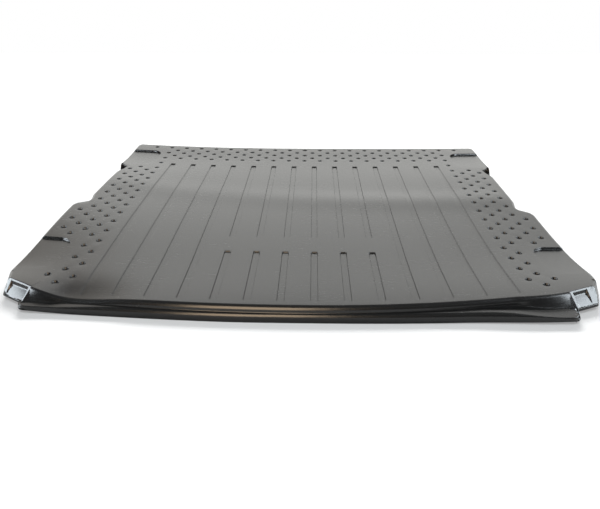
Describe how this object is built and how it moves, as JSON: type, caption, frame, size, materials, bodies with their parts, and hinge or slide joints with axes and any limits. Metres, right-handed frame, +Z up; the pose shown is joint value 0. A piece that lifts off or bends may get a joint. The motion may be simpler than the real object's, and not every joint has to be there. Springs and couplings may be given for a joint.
{
  "type": "cargo bed liner",
  "caption": "Shallow formed plastic liner tray for a vehicle's load floor, with a stepped loading lip, wheel-arch waist, sunk grooves and studs, corner pockets and foam rim strips.",
  "frame": {"origin": "middle of the footprint, at the foot of the rim that the liner lies on", "axes": "+X across the liner to the right as seen from the loading lip, +Y from the loading lip to the rear edge, +Z up; the liner lies face down, so its underside faces +Z and the tray's inside faces -Z"},
  "size_m": [1.0226, 0.8642, 0.026],
  "materials": {
    "formed_sheet": "satin, finely grained",
    "foam": "matt closed-cell foam"
  },
  "bodies": {
    "root": {"liner_sheet": "formed_sheet", "foam_strip_rear_left": "foam", "foam_strip_rear_right": "foam", "foam_strip_side_rear_left": "foam", "foam_strip_side_rear_right": "foam", "foam_strip_side_front_left": "foam", "foam_strip_side_front_right": "foam"}
  },
  "joints": []
}
